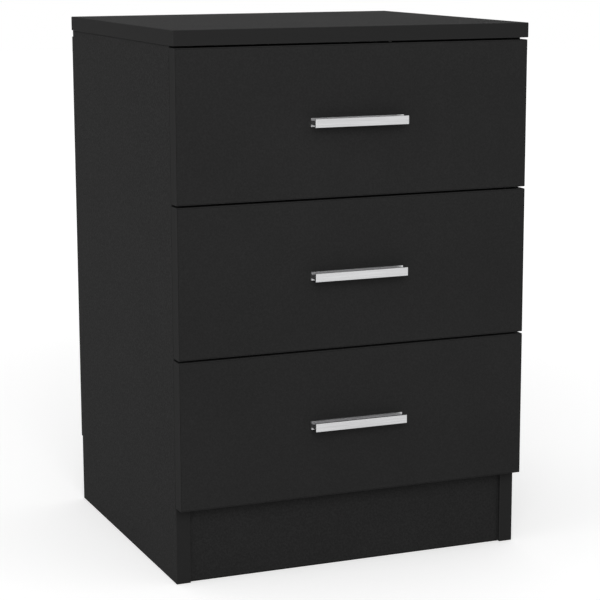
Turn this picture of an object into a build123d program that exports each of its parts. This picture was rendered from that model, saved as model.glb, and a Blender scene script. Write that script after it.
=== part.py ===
"""Bedside nightstand with three drawers, in 15 mm melamine-faced board.

Millimetres. X runs to the right, Y to the back and Z up. The origin is on the floor, under the
centre of the overall box, so the bar handles stick out to -Y.

Every board, runner, roller and group of like fasteners is written to its own STEP file.
"""
from build123d import *
import os

# ---- Overall size -----------------------------------------------------------------------------
width = 380.0                   # over the top panel
depth = 350.0                   # drawer faces to the rear of the back panel
height = 550.0                  # floor to the top surface

# ---- Boards -----------------------------------------------------------------------------------
board = 15.0                    # top, sides, bottom, plinth and drawer fronts
box_board = 12.0                # sides and back of a drawer box
hardboard = 3.0                 # back panel and drawer bottoms
edge_radius = 0.8               # softened edge of the edge banding
box_edge_radius = 0.4

# ---- Carcass ----------------------------------------------------------------------------------
top_side_overhang = 1.0         # top panel past each side panel
top_rear_inset = 1.5            # top panel ends this far before the rear of the back panel
plinth_height = 80.0
plinth_setback = 4.0            # plinth face behind the front edges of the sides
back_drop = 7.0                 # back panel ends this far under the top panel
back_foot = 6.0                 # back panel reaches this far below the bottom panel

# ---- Drawers ----------------------------------------------------------------------------------
levels = ("lower", "middle", "upper")
reveal = 2.0                    # gap above each drawer front
front_drop = 1.0                # lowest front reaches this far below the bottom panel
front_gap = 0.4                 # rear face of a front to the front edges of the sides
runner_room = 12.5              # side clearance of one drawer box
box_height = 110.0
box_rear_room = 32.0            # rear of a box to the back panel
box_rise = 24.0                 # underside of a box above the lower edge of its front
groove_depth = 4.0
groove_rise = 9.0               # underside of the drawer bottom above the underside of its box
groove_clearance = 0.1          # all round the drawer bottom in its grooves

# ---- Bar handles ------------------------------------------------------------------------------
handle_length = 100.0
handle_height = 8.5
handle_projection = 14.0
handle_flange = 2.0
handle_web = 4.2
handle_edge_radius = 0.35
handle_hole_spacing = 64.0
handle_screw_diameter = 3.0
handle_screw_grip = 5.0         # thread length in the web
handle_screw_head = (6.4, 2.2)  # diameter and height

# ---- Runners and rollers ----------------------------------------------------------------------
runner_steel = 1.0
channel_height = 21.0
channel_lip = 7.5               # lips of the channel, measured from its plate
runner_inset = 1.6              # front end of the cabinet runner behind the front edge of the side
runner_rear_room = 30.0         # rear end of the cabinet runner to the back panel
box_rise_in_channel = 4.0       # underside of the box above the underside of the channel
drawer_lip = 10.0               # lip under the box side
drawer_flange = 9.5             # flange that rides on the cabinet roller, from the box side
drawer_runner_inset = 1.0       # front end of the drawer runner behind the drawer front
roller_diameter = 16.0
roller_edge = 0.6
cabinet_roller_width = 6.0
drawer_roller_width = 5.5
roller_from_end = 12.0          # roller centre from the end of its runner
roller_side_gap = 0.6           # roller to the plate that carries it
pin_diameter = 4.0
pin_head = (7.0, 0.9)
running_clearance = 0.05        # roller on its pin and roller on its track
pin_head_gap = 0.2

# ---- Fasteners --------------------------------------------------------------------------------
fit_clearance = 0.1             # on the radius, between a fastener and its hole
cam_diameter = 15.0
cam_depth = 12.0
cam_reach = 24.0                # cam centre from the joint face
bolt_shank = 5.0
bolt_thread = 6.0
bolt_thread_length = 9.0
box_cam_diameter = 12.0
box_cam_depth = 9.5
box_cam_reach = 20.0
box_bolt_shank = 4.0
box_bolt_thread = 5.0
cam_wall = 2.0                  # cam left on the far side of the bolt end
cam_recess = (1.4, 8.0, 1.8)    # cross recess: slot width, length and depth
dowel_diameter = 8.0
dowel_length = 30.0
dowel_in_face = 10.0            # share of the dowel in the face that it enters
dowel_end_gap = 0.5
cam_inset = 50.0                # carcass cams from the front and rear edges of a side
dowel_inset = 90.0              # carcass dowels from the same edges
plinth_dowel_offset = 22.0      # plinth dowel below its cam
box_cam_inset = 28.0            # drawer cams from the upper and lower edges of the box side
screw_diameter = 3.5
screw_head = (6.5, 1.4)
runner_screw_length = 10.0
box_screw_length = 34.0
box_screw_inset = 30.0          # drawer back screws from the upper and lower edges of the box
runner_screw_inset = 45.0       # runner screws from both ends of a runner
nail_diameter = 1.4
nail_length = 18.0
nail_head = (3.0, 0.5)
nail_pitch = 85.0               # about this far apart, in whole steps
nail_inset = 14.0               # nails from the ends of the edge that they enter

# ---- Places worked out from the sizes -----------------------------------------------------------
overall_y = handle_projection + depth + nail_head[1]
face_y = handle_projection - overall_y / 2                      # faces of the drawer fronts
rear_y = face_y + depth
front_back_y = face_y + board                                   # rear faces of the fronts
side_front_y = front_back_y + front_gap
side_rear_y = rear_y - hardboard
half_width = width / 2
carcass_half = half_width - top_side_overhang
inner_half = carcass_half - board
side_height = height - board
bottom_top_z = plinth_height + board
plinth_face_y = side_front_y + plinth_setback

front_bottom_z = plinth_height - front_drop
front_height = (side_height - front_bottom_z) / len(levels) - reveal
front_pitch = front_height + reveal
box_half = inner_half - runner_room
box_inner_half = box_half - box_board
box_rear_y = side_rear_y - box_rear_room
box_back_y = box_rear_y - box_board

runner_front_y = side_front_y + runner_inset
runner_rear_y = side_rear_y - runner_rear_room
drawer_runner_front_y = front_back_y + drawer_runner_inset
roller_radius = roller_diameter / 2
cabinet_roller_y = runner_front_y + roller_from_end
drawer_roller_y = box_rear_y - roller_from_end
plate_x = inner_half - runner_steel                             # inner face of the channel's plate
cabinet_roller_x = plate_x - roller_side_gap - cabinet_roller_width
drawer_plate_x = box_half + runner_steel                        # outer face of the drawer plate
drawer_roller_x = drawer_plate_x + roller_side_gap

forward = (0, -1, 0)
backward = (0, 1, 0)
upward = (0, 0, 1)
downward = (0, 0, -1)
sides = {"left": -1, "right": 1}


# ---- Shared shapes ------------------------------------------------------------------------------
def block(x_range, y_range, z_range):
    """A box between two limits on each axis, given in either order."""
    low = [min(limits) for limits in (x_range, y_range, z_range)]
    high = [max(limits) for limits in (x_range, y_range, z_range)]
    size = [end - start for start, end in zip(low, high)]
    corner = (Align.MIN, Align.MIN, Align.MIN)
    return Pos(*low) * Box(*size, align=corner)


def rod(start, direction, diameter, length):
    """A cylinder that grows from start along direction."""
    on_start = (Align.CENTER, Align.CENTER, Align.MIN)
    return Plane(origin=start, z_dir=direction) * Cylinder(diameter / 2, length, align=on_start)


def hole(start, direction, diameter, length, clearance=fit_clearance):
    """The cutter for a rod, wider by the clearance on its radius."""
    return rod(start, direction, diameter + 2 * clearance, length)


def stepped(start, direction, outward, head, diameter, length):
    """A head and a shank on one axis: the head grows outward, the shank along direction."""
    return rod(start, direction, diameter, length) + rod(start, outward, head[0], head[1])


def along(direction, distance, start):
    """The point at a distance from start."""
    return tuple(s + distance * d for s, d in zip(start, direction))


def softened(shape, radius):
    """Round every edge of a board."""
    return fillet(shape.edges(), radius)


def cut(shape, cutters):
    """The shape with every cutter taken away."""
    for cutter in cutters:
        shape = shape - cutter
    return shape


def save(name, *shapes):
    """Write one sub-part, or a group of like ones, to its STEP file."""
    solids = [solid for shape in shapes for solid in shape.solids()]
    group = solids[0] if len(solids) == 1 else Compound(children=solids)
    group.label = name
    export_step(group, f"parts/{name}.step")


# ---- Joints between boards ------------------------------------------------------------------------
class CamJoint:
    """A bolt screwed into one board and a cam in the other, which pulls the two together.

    point is on the joint face, on the bolt's axis. inward points from that face into the board
    that holds the cam, and face points out of the surface that the cam is sunk into.
    """

    def __init__(self, point, inward, face, surface, reach, cam, shank, thread):
        self.point = point
        self.inward = inward
        self.outward = tuple(-d for d in inward)
        self.into = tuple(-d for d in face)
        self.reach = reach
        self.diameter, self.depth = cam
        self.shank = shank
        self.thread = thread
        self.seat = along(face, surface, along(inward, reach, point))
        self.bolt_reach = reach + self.diameter / 2 - cam_wall - self.diameter / 4

    def cam_hole(self):
        return hole(self.seat, self.into, self.diameter, self.depth)

    def bolt_hole(self):
        return hole(self.point, self.inward, self.shank, self.reach)

    def thread_hole(self):
        return hole(self.point, self.outward, self.thread, bolt_thread_length)

    def bolt(self):
        shank = rod(self.point, self.inward, self.shank, self.bolt_reach)
        return shank + rod(self.point, self.outward, self.thread, bolt_thread_length)

    def cam(self):
        body = rod(self.seat, self.into, self.diameter, self.depth)
        socket = hole(self.point, self.inward, self.shank, self.bolt_reach + fit_clearance)
        slot_width, slot_length, slot_depth = cam_recess
        frame = Plane(origin=self.seat, z_dir=self.into, x_dir=self.inward)
        on_face = (Align.CENTER, Align.CENTER, Align.MIN)
        scale = self.diameter / cam_diameter
        slot = frame * Box(slot_length * scale, slot_width, slot_depth, align=on_face)
        cross = frame * Box(slot_width, slot_length * scale, slot_depth, align=on_face)
        return cut(body, (socket, slot, cross))


def carcass_cam(point, inward, face):
    return CamJoint(point, inward, face, board / 2, cam_reach, (cam_diameter, cam_depth),
                    bolt_shank, bolt_thread)


def drawer_cam(point, inward, face):
    return CamJoint(point, inward, face, box_board / 2, box_cam_reach,
                    (box_cam_diameter, box_cam_depth), box_bolt_shank, box_bolt_thread)


def dowel(point, inward):
    """A wood dowel across a joint face; inward is the direction with the longer share."""
    start = along(inward, -dowel_in_face, point)
    return fillet(rod(start, inward, dowel_diameter, dowel_length).edges(), edge_radius)


def dowel_hole(point, inward):
    start = along(inward, -dowel_in_face - dowel_end_gap, point)
    return hole(start, inward, dowel_diameter, dowel_length + 2 * dowel_end_gap)


def mid_side_x(sign):
    return sign * (inner_half + board / 2)


def toward_centre(sign):
    return (-sign, 0, 0)


def top_joints(sign):
    """Cams and dowels between the top panel and one side panel."""
    x = mid_side_x(sign)
    cams = [carcass_cam((x, y, side_height), downward, toward_centre(sign))
            for y in (side_front_y + cam_inset, side_rear_y - cam_inset)]
    dowels = [((x, y, side_height), downward)
              for y in (side_front_y + dowel_inset, side_rear_y - dowel_inset)]
    return cams, dowels


def bottom_joints(sign):
    """Cams and dowels between the bottom panel and one side panel."""
    x = sign * inner_half
    z = plinth_height + board / 2
    cams = [carcass_cam((x, y, z), toward_centre(sign), downward)
            for y in (side_front_y + cam_inset, side_rear_y - cam_inset)]
    dowels = [((x, y, z), toward_centre(sign))
              for y in (side_front_y + dowel_inset, side_rear_y - dowel_inset)]
    return cams, dowels


def plinth_joints(sign):
    """One cam and one dowel between the plinth and one side panel."""
    x = sign * inner_half
    y = plinth_face_y + board / 2
    z = plinth_height / 2
    cams = [carcass_cam((x, y, z), toward_centre(sign), backward)]
    dowels = [((x, y, z - plinth_dowel_offset), toward_centre(sign))]
    return cams, dowels


def runner_screw_ys():
    return (runner_front_y + runner_screw_inset, runner_rear_y - runner_screw_inset)


def front_bottom(level):
    """Lower edge of the drawer front at a level, counted from the lowest drawer."""
    return front_bottom_z + level * front_pitch


def box_bottom(level):
    return front_bottom(level) + box_rise


def channel_bottom(level):
    return box_bottom(level) - box_rise_in_channel


def drawer_roller_z(level):
    return channel_bottom(level) + runner_steel + running_clearance + roller_radius


def flange_z(level):
    """Underside of the drawer runner's flange, in the middle of the room over the roller."""
    roller_top = drawer_roller_z(level) + roller_radius
    lip = channel_bottom(level) + channel_height - runner_steel
    return roller_top + (lip - roller_top - runner_steel) / 3


def cabinet_roller_z(level):
    return flange_z(level) - running_clearance - roller_radius


# ---- Carcass ----------------------------------------------------------------------------------
def top_panel():
    panel = block((-half_width, half_width), (face_y, rear_y - top_rear_inset),
                  (side_height, height))
    panel = softened(panel, edge_radius)
    for sign in sides.values():
        cams, dowels = top_joints(sign)
        panel = cut(panel, [cam.thread_hole() for cam in cams])
        panel = cut(panel, [dowel_hole(*place) for place in dowels])
    return panel


def side_panel(sign):
    """One side panel, with the cams of the top and the holes for everything that meets it."""
    panel = block((sign * inner_half, sign * carcass_half), (side_front_y, side_rear_y),
                  (0, side_height))
    panel = softened(panel, edge_radius)
    top_cams, top_dowels = top_joints(sign)
    for cam in top_cams:
        panel = cut(panel, (cam.cam_hole(), cam.bolt_hole()))
    for joints in (bottom_joints, plinth_joints):
        cams, dowels = joints(sign)
        panel = cut(panel, [cam.thread_hole() for cam in cams])
        panel = cut(panel, [dowel_hole(*place) for place in dowels])
    panel = cut(panel, [dowel_hole(*place) for place in top_dowels])
    for level in range(len(levels)):
        for point in cabinet_screw_points(sign, level):
            panel = panel - hole(point, (sign, 0, 0), screw_diameter, runner_screw_length)
    return cut(panel, [nail_hole(point) for point in side_nail_points(sign)])


def bottom_panel():
    panel = block((-inner_half, inner_half), (side_front_y, side_rear_y),
                  (plinth_height, bottom_top_z))
    for sign in sides.values():
        cams, dowels = bottom_joints(sign)
        for cam in cams:
            panel = cut(panel, (cam.cam_hole(), cam.bolt_hole()))
        panel = cut(panel, [dowel_hole(*place) for place in dowels])
    return cut(panel, [nail_hole(point) for point in bottom_nail_points()])


def plinth():
    panel = block((-inner_half, inner_half), (plinth_face_y, plinth_face_y + board),
                  (0, plinth_height))
    for sign in sides.values():
        cams, dowels = plinth_joints(sign)
        for cam in cams:
            panel = cut(panel, (cam.cam_hole(), cam.bolt_hole()))
        panel = cut(panel, [dowel_hole(*place) for place in dowels])
    return panel


def back_panel():
    panel = block((-carcass_half, carcass_half), (side_rear_y, rear_y),
                  (plinth_height - back_foot, side_height - back_drop))
    points = bottom_nail_points()
    for sign in sides.values():
        points = points + side_nail_points(sign)
    return cut(panel, [nail_hole(point) for point in points])


def nail_steps(start, end):
    """Evenly spaced places from start to end, both included, about a nail pitch apart."""
    steps = max(1, round((end - start) / nail_pitch))
    return [start + (end - start) * index / steps for index in range(steps + 1)]


def side_nail_points(sign):
    """Nail heads over the rear edge of one side panel."""
    low = plinth_height - back_foot + nail_inset
    high = side_height - back_drop - nail_inset
    return [(mid_side_x(sign), rear_y, z) for z in nail_steps(low, high)]


def bottom_nail_points():
    """Nail heads over the rear edge of the bottom panel."""
    reach = inner_half - cam_inset
    return [(x, rear_y, plinth_height + board / 2) for x in nail_steps(-reach, reach)]


def nail(point):
    return stepped(point, forward, backward, nail_head, nail_diameter, nail_length)


def nail_hole(point):
    return hole(point, forward, nail_diameter, nail_length + fit_clearance)


def carcass_joints():
    """All cams and dowels of the carcass."""
    cams = []
    dowels = []
    for sign in sides.values():
        for joints in (top_joints, bottom_joints, plinth_joints):
            side_cams, side_dowels = joints(sign)
            cams += side_cams
            dowels += side_dowels
    return cams, dowels


# ---- Cabinet runners --------------------------------------------------------------------------
def cabinet_screw_points(sign, level):
    """Runner screws where they enter the side panel, at the height of the rollers."""
    z = channel_bottom(level) + channel_height / 2
    return [(sign * inner_half, y, z) for y in runner_screw_ys()]


def cabinet_pin_start(sign, level):
    """Outer end of a cabinet roller's pin, flush with the outside of the channel's plate."""
    return (sign * inner_half, cabinet_roller_y, cabinet_roller_z(level))


def cabinet_runner(sign, level):
    """A C-shaped steel channel, open towards the drawer."""
    ys = (runner_front_y, runner_rear_y)
    low = channel_bottom(level)
    high = low + channel_height
    lips = (sign * inner_half, sign * (plate_x - channel_lip))
    channel = block((sign * inner_half, sign * plate_x), ys, (low, high))
    channel = channel + block(lips, ys, (low, low + runner_steel))
    channel = channel + block(lips, ys, (high - runner_steel, high))
    inward = toward_centre(sign)
    for point in cabinet_screw_points(sign, level):
        channel = channel - hole(point, inward, screw_diameter, runner_steel)
    return channel - hole(cabinet_pin_start(sign, level), inward, pin_diameter, runner_steel,
                          running_clearance)


def cabinet_runner_screw(sign, point):
    """Screw through the channel's plate: its head is on the inner face of the plate."""
    inward = toward_centre(sign)
    head_start = along(inward, runner_steel, point)
    length = runner_screw_length - fit_clearance + runner_steel
    return stepped(head_start, (sign, 0, 0), inward, screw_head, screw_diameter, length)


def cabinet_pin(sign, level):
    """Pin of one cabinet roller, with a head that keeps the roller on."""
    start = cabinet_pin_start(sign, level)
    inward = toward_centre(sign)
    length = runner_steel + roller_side_gap + cabinet_roller_width + pin_head_gap
    head = rod(along(inward, length, start), inward, pin_head[0], pin_head[1])
    return rod(start, inward, pin_diameter, length) + head


def roller(start, direction, roller_width):
    """A nylon roller with softened rims, bored for its pin."""
    wheel = rod(start, direction, roller_diameter, roller_width)
    wheel = fillet(wheel.edges(), roller_edge)
    return wheel - hole(start, direction, pin_diameter, roller_width, running_clearance)


def cabinet_rollers(level):
    """The left and right cabinet rollers of a drawer, on one axis."""
    return [roller((sign * cabinet_roller_x, cabinet_roller_y, cabinet_roller_z(level)),
                   (sign, 0, 0), cabinet_roller_width) for sign in sides.values()]


# ---- Drawer boxes -----------------------------------------------------------------------------
def drawer_cam_joints(level):
    """Cams that hold the two box sides to the drawer front."""
    low = box_bottom(level)
    heights = (low + box_cam_inset, low + box_height - box_cam_inset)
    return [drawer_cam((sign * (box_half - box_board / 2), front_back_y, z), backward,
                       toward_centre(sign))
            for sign in sides.values() for z in heights]


def handle_screw_points(level):
    """Centres of the handle screws on the rear face of the drawer front."""
    z = front_bottom(level) + front_height / 2
    return [(x, front_back_y, z) for x in (-handle_hole_spacing / 2, handle_hole_spacing / 2)]


def groove(level):
    """The space that the drawer bottom takes, with its clearance, as one cutter."""
    return bottom_board(level, groove_depth, groove_clearance)


def bottom_board(level, reach, clearance):
    """The drawer bottom, reaching into all four boards round it."""
    half = box_inner_half + reach
    low = box_bottom(level) + groove_rise
    return block((-half, half), (front_back_y - reach, box_back_y + reach),
                 (low - clearance, low + hardboard + clearance))


def drawer_bottom(level):
    return bottom_board(level, groove_depth - groove_clearance, 0)


def drawer_front(level):
    low = front_bottom(level)
    panel = block((-carcass_half, carcass_half), (face_y, front_back_y), (low, low + front_height))
    panel = softened(panel, edge_radius)
    panel = cut(panel, [cam.thread_hole() for cam in drawer_cam_joints(level)])
    for point in handle_screw_points(level):
        panel = panel - hole(point, forward, handle_screw_diameter, board)
    return panel - groove(level)


def back_screw_points(sign, level):
    """Screws through a box side into the end of the drawer back."""
    low = box_bottom(level)
    y = box_back_y + box_board / 2
    return [(sign * box_half, y, z)
            for z in (low + box_screw_inset, low + box_height - box_screw_inset)]


def lip_screw_points(sign, level):
    """Screws through the runner's lip, up into the lower edge of a box side."""
    ys = (drawer_runner_front_y + runner_screw_inset, box_rear_y - runner_screw_inset)
    return [(sign * (box_half - box_board / 2), y, box_bottom(level)) for y in ys]


def side_screw_hole(sign, point):
    """Clearance for a flush screw head and its shank, from the outer face of a box side."""
    inward = toward_centre(sign)
    sunk = along(inward, screw_head[1], point)
    return (hole(point, inward, screw_head[0], screw_head[1])
            + hole(sunk, inward, screw_diameter, box_screw_length))


def drawer_side(sign, level):
    low = box_bottom(level)
    panel = block((sign * box_inner_half, sign * box_half), (front_back_y, box_rear_y),
                  (low, low + box_height))
    panel = softened(panel, box_edge_radius)
    for cam in drawer_cam_joints(level):
        panel = cut(panel, (cam.cam_hole(), cam.bolt_hole()))
    for point in back_screw_points(sign, level):
        panel = panel - side_screw_hole(sign, point)
    for point in lip_screw_points(sign, level):
        panel = panel - hole(point, upward, screw_diameter, runner_screw_length)
    return panel - groove(level)


def drawer_back(level):
    low = box_bottom(level)
    panel = block((-box_inner_half, box_inner_half), (box_back_y, box_rear_y),
                  (low, low + box_height))
    for sign in sides.values():
        for point in back_screw_points(sign, level):
            panel = panel - side_screw_hole(sign, point)
    return panel - groove(level)


def drawer_screws(level):
    """The screws of the drawer back, sunk flush, and those of both drawer runners."""
    screws = []
    for sign in sides.values():
        inward = toward_centre(sign)
        for point in back_screw_points(sign, level):
            seat = along(inward, screw_head[1], point)
            length = box_screw_length - fit_clearance
            screws.append(stepped(seat, inward, (sign, 0, 0), screw_head, screw_diameter, length))
        for point in lip_screw_points(sign, level):
            seat = along(downward, runner_steel, point)
            length = runner_screw_length + runner_steel - fit_clearance
            screws.append(stepped(seat, upward, downward, screw_head, screw_diameter, length))
    return screws


# ---- Handles ------------------------------------------------------------------------------------
def handle(level):
    """H-shaped bar: a front flange to grip, a web, and a rear flange on the drawer front."""
    z = front_bottom(level) + front_height / 2
    xs = (-handle_length / 2, handle_length / 2)
    tall = (z - handle_height / 2, z + handle_height / 2)
    thin = (z - handle_web / 2, z + handle_web / 2)
    tip_y = face_y - handle_projection
    bar = block(xs, (tip_y, face_y), thin)
    bar = bar + block(xs, (tip_y, tip_y + handle_flange), tall)
    bar = bar + block(xs, (face_y - handle_flange, face_y), tall)
    bar = fillet(bar.edges().group_by(Axis.Y)[0], handle_edge_radius)
    for x, _, height_z in handle_screw_points(level):
        bar = bar - hole((x, face_y, height_z), forward, handle_screw_diameter, handle_screw_grip)
    return bar


def handle_screw(point):
    length = board + handle_screw_grip - fit_clearance
    return stepped(point, forward, backward, handle_screw_head, handle_screw_diameter, length)


# ---- Drawer runners -----------------------------------------------------------------------------
def drawer_roller_start(sign, level):
    """Inner end of a drawer roller's pin, on the outer face of the box side."""
    return (sign * box_half, drawer_roller_y, drawer_roller_z(level))


def drawer_pin(sign, level):
    """Pin riveted into the drawer runner, with a head that keeps the roller on."""
    start = drawer_roller_start(sign, level)
    outward = (sign, 0, 0)
    length = runner_steel + roller_side_gap + drawer_roller_width + pin_head_gap
    head = rod(along(outward, length, start), outward, pin_head[0], pin_head[1])
    return rod(start, outward, pin_diameter, length) + head


def drawer_runner(sign, level):
    """Steel angle round the lower edge of a box side, with a flange over the cabinet roller."""
    ys = (drawer_runner_front_y, box_rear_y)
    low = box_bottom(level)
    ride = flange_z(level)
    plate = block((sign * box_half, sign * drawer_plate_x), ys,
                  (low - runner_steel, ride + runner_steel))
    lip = block((sign * (box_half - drawer_lip), sign * drawer_plate_x), ys,
                (low - runner_steel, low))
    flange = block((sign * box_half, sign * (box_half + drawer_flange)), ys,
                   (ride, ride + runner_steel))
    runner = plate + lip + flange
    for point in lip_screw_points(sign, level):
        runner = runner - hole(point, downward, screw_diameter, runner_steel)
    return runner + drawer_pin(sign, level)


def drawer_rollers(level):
    """The left and right drawer rollers, on one axis."""
    return [roller((sign * drawer_roller_x, drawer_roller_y, drawer_roller_z(level)),
                   (sign, 0, 0), drawer_roller_width) for sign in sides.values()]


# ---- Writing the sub-parts ------------------------------------------------------------------------
def write_carcass():
    cams, dowels = carcass_joints()
    save("top_panel", top_panel())
    for side, sign in sides.items():
        save(f"{side}_side_panel", side_panel(sign))
    save("bottom_panel", bottom_panel())
    save("plinth", plinth())
    save("back_panel", back_panel())
    save("carcass_cam_locks", *[cam.cam() for cam in cams])
    save("carcass_cam_bolts", *[cam.bolt() for cam in cams])
    save("carcass_wood_dowels", *[dowel(*place) for place in dowels])
    nail_points = bottom_nail_points()
    for sign in sides.values():
        nail_points = nail_points + side_nail_points(sign)
    save("back_panel_nails", *[nail(point) for point in nail_points])


def write_cabinet_runners():
    screws = []
    pins = []
    for level, name in enumerate(levels):
        for side, sign in sides.items():
            save(f"{name}_cabinet_{side}_runner", cabinet_runner(sign, level))
            pins.append(cabinet_pin(sign, level))
            screws += [cabinet_runner_screw(sign, point)
                       for point in cabinet_screw_points(sign, level)]
        save(f"{name}_cabinet_rollers", *cabinet_rollers(level))
    save("cabinet_roller_pins", *pins)
    save("cabinet_runner_screws", *screws)


def write_drawer(level, name):
    cams = drawer_cam_joints(level)
    save(f"{name}_drawer_front", drawer_front(level))
    for side, sign in sides.items():
        save(f"{name}_drawer_{side}_side", drawer_side(sign, level))
        save(f"{name}_drawer_{side}_runner", drawer_runner(sign, level))
    save(f"{name}_drawer_back", drawer_back(level))
    save(f"{name}_drawer_bottom", drawer_bottom(level))
    save(f"{name}_drawer_cam_locks", *[cam.cam() for cam in cams])
    save(f"{name}_drawer_cam_bolts", *[cam.bolt() for cam in cams])
    save(f"{name}_drawer_screws", *drawer_screws(level))
    save(f"{name}_drawer_rollers", *drawer_rollers(level))
    save(f"{name}_handle", handle(level))
    save(f"{name}_handle_screws", *[handle_screw(point) for point in handle_screw_points(level)])


def main():
    os.makedirs("parts", exist_ok=True)
    write_carcass()
    write_cabinet_runners()
    for level, name in enumerate(levels):
        write_drawer(level, name)


main()
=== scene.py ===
# %% [markdown]
# # Black nightstand with three drawers
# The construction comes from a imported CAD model, which is loaded here as a fixed frame. This
# script gives every board its finish and replaces the plain fittings by detailed ones: rolled
# runners, nylon rollers, cam locks, screws, nails and dowels. Blender works in metres. Sizes that
# a maker would name are written in millimetres and multiplied by MM.

# %% Load the frame
import math

import bmesh
import bpy
import numpy as np
from mathutils import Matrix, Vector


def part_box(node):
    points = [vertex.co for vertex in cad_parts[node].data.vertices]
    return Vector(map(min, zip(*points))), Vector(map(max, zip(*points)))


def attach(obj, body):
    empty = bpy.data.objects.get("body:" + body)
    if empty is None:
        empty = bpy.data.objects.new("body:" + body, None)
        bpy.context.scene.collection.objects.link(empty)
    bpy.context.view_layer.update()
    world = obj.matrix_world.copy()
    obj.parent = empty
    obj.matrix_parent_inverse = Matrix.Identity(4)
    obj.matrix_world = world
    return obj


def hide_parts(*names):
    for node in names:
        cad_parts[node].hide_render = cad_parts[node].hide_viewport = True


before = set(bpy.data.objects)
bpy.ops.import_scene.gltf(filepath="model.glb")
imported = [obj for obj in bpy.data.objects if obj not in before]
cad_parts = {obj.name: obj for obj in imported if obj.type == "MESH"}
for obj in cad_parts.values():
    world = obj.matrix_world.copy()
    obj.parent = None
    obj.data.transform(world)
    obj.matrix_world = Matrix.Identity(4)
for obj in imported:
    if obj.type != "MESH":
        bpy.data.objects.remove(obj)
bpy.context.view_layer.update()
MM = 0.001
LEVELS = ("lower", "middle", "upper")
SIDES = {"left": -1, "right": 1}

# %% [markdown]
# ## Colour and node helpers
# A colour is written as the sRGB hex value that the eye knows, and one function turns it into the
# linear values that Blender computes with. Another small function adds a shader or geometry node
# with its settings and links, so that each finish below reads as a short list.

# %% Colour and node helpers
def linear(hex_colour):
    """The linear RGBA of an sRGB hex colour."""
    channels = [int(hex_colour[i:i + 2], 16) / 255 for i in (1, 3, 5)]
    return tuple(c / 12.92 if c <= 0.04045 else ((c + 0.055) / 1.055) ** 2.4
                 for c in channels) + (1,)


def add(tree, kind, inputs=None, **settings):
    """Adds one node. A kind without Node in it is a shader node, so Mix is ShaderNodeMix. inputs
    maps a socket's name or index to a value or to what feeds it: another socket, or a node, which
    feeds it with its first working output."""
    node = tree.nodes.new(kind if "Node" in kind else f"ShaderNode{kind}")
    for name, value in settings.items():
        setattr(node, name, value)
    for name, value in (inputs or {}).items():
        if isinstance(value, bpy.types.Node):
            value = next(socket for socket in value.outputs if socket.enabled)
        if isinstance(value, bpy.types.NodeSocket):
            tree.links.new(value, node.inputs[name])
        else:
            node.inputs[name].default_value = value
    return node


print("black facing in linear light:", [round(c, 4) for c in linear("#242424")])

# %% [markdown]
# A pattern's size is written in millimetres and turned into the scale that a noise works with. A
# noise hardly ever reaches 0 or 1, so the finishes stretch the middle of its range, SPAN, to the
# range that they want.

# %% Materials and pattern sizes
def own_tree(block):
    """The emptied node tree of a material or world."""
    block.use_nodes = True
    block.node_tree.nodes.clear()
    return block.node_tree


def new_material(name):
    material = bpy.data.materials.new(name)
    return material, own_tree(material)


def per_metre(size_mm):
    """The scale of a noise whose features are size_mm wide, on Object coordinates in metres."""
    return 1 / (size_mm * MM)


SPAN = {"From Min": 0.3, "From Max": 0.7}    # most values of a noise lie between these two
print("a pattern of 2 mm has the scale", round(per_metre(2)))

# %% [markdown]
# ## Melamine-faced particle board
# The boards are chipboard pressed between two resin-soaked papers, and their narrow faces wear a
# glued ABS edge band. The facing is embossed by the press plate with a fine pearl grain, so it
# scatters light softly. Three things tell the eye that it is real board and not painted plastic:
# the grain on the broad faces but not on the bands, the hairline where band and facing meet about
# a millimetre from each edge, and the bare chips on the cut edges that no band covers. One node
# group makes all of them from the board's own box, so one recipe fits all seventeen boards.

# %% Board surface group
def add_sockets(tree, way, kinds):
    """Gives a group its inputs or outputs. kinds maps each name to the kind of its socket."""
    for name, kind in kinds.items():
        tree.interface.new_socket(name=name, in_out=way, socket_type=f"NodeSocket{kind}")


board = bpy.data.node_groups.new("board_surface", "ShaderNodeTree")
add_sockets(board, "INPUT", {"Low": "Vector", "High": "Vector", "Thin Axis": "Vector",
                             "Bare Axis": "Vector", "Grain": "Float"})
add_sockets(board, "OUTPUT", {"Colour": "Color", "Roughness": "Float", "Normal": "Vector"})
given = add(board, "NodeGroupInput").outputs
where = add(board, "TexCoord").outputs
print("the board group takes", [socket.name for socket in given if socket.name])

# %% [markdown]
# First the group finds out where a point lies. It has three distances, one along each axis, to the
# nearest end of the board's box. The smallest is nought, because the point is on a face, so the
# middle one is its distance from the nearest edge.

# %% Distance to the nearest edge
from_low = add(board, "VectorMath", {0: where["Object"], 1: given["Low"]}, operation="SUBTRACT")
from_high = add(board, "VectorMath", {0: given["High"], 1: where["Object"]}, operation="SUBTRACT")
to_ends = add(board, "VectorMath", {0: from_low, 1: from_high}, operation="MINIMUM")
along_x, along_y, along_z = add(board, "SeparateXYZ", {0: to_ends}).outputs
smaller = add(board, "Math", {0: along_x, 1: along_y}, operation="MINIMUM")
larger = add(board, "Math", {0: along_x, 1: along_y}, operation="MAXIMUM")
inner = add(board, "Math", {0: larger, 1: along_z}, operation="MINIMUM")
to_edge = add(board, "Math", {0: smaller, 1: inner}, operation="MAXIMUM")
print("edge distance:", len(board.nodes), "nodes so far")

# %% [markdown]
# Then it tells a broad face from a narrow one, and a bare cut from a banded one, by the way the
# surface looks. On the rounded edge, broad fades into narrow between two steepnesses.

# %% Broad faces and bare cuts
BROAD = {"From Min": 0.6, "From Max": 0.9}
BARE_FROM = 0.9

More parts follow.
